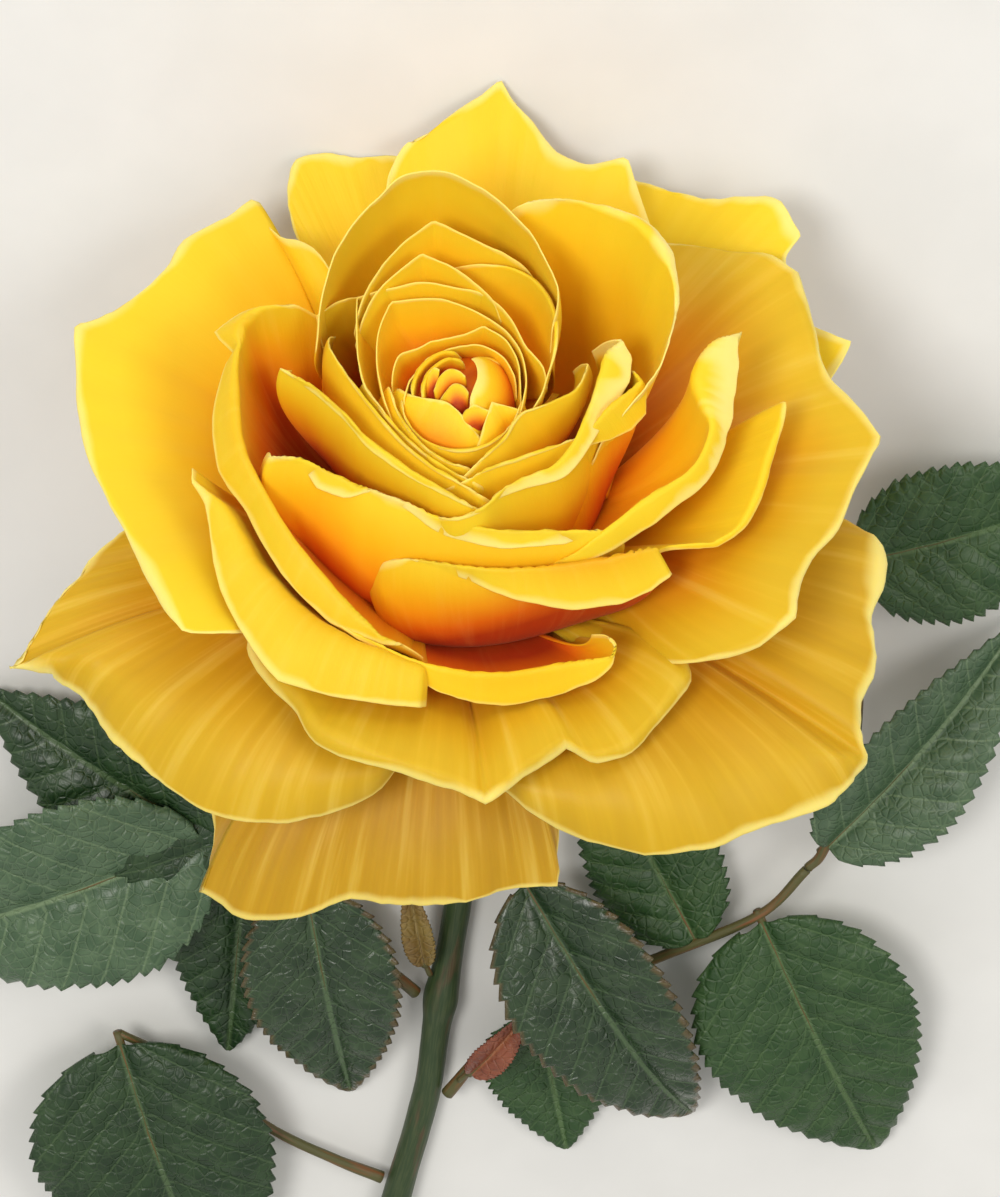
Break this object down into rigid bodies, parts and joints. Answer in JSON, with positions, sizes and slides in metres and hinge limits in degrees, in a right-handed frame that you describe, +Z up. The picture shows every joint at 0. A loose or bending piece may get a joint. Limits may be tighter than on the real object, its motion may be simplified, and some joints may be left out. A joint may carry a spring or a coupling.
{
  "type": "cut garden rose on a leafy stem",
  "caption": "Large double yellow rose cut with a short leafy stem, lying on its back petals, for a vase, a bouquet or a planted shrub's flowers.",
  "frame": {"origin": "centre of the part's bounding box at floor level", "axes": "+Z up from the floor the rose lies on, +Y along the stem from its cut end towards the bloom, +X to the right seen from above with the bloom away from the viewer"},
  "size_m": [0.1946, 0.2302, 0.0891],
  "materials": {
    "petal": "soft satin yellow, orange in the folds",
    "calyx": "matt green",
    "stem": "smooth green bark, brown at the node",
    "leaf": "glossy dark green",
    "young_leaf": "satin red brown"
  },
  "bodies": {
    "root": {"bloom": "petal", "calyx": "calyx", "stem": "stem", "leaf_left": "leaf", "leaf_low": "leaf", "leaf_front": "leaf", "leaf_right": "leaf", "leaf_far": "leaf", "young_leaf": "young_leaf", "bract": "young_leaf"}
  },
  "joints": []
}
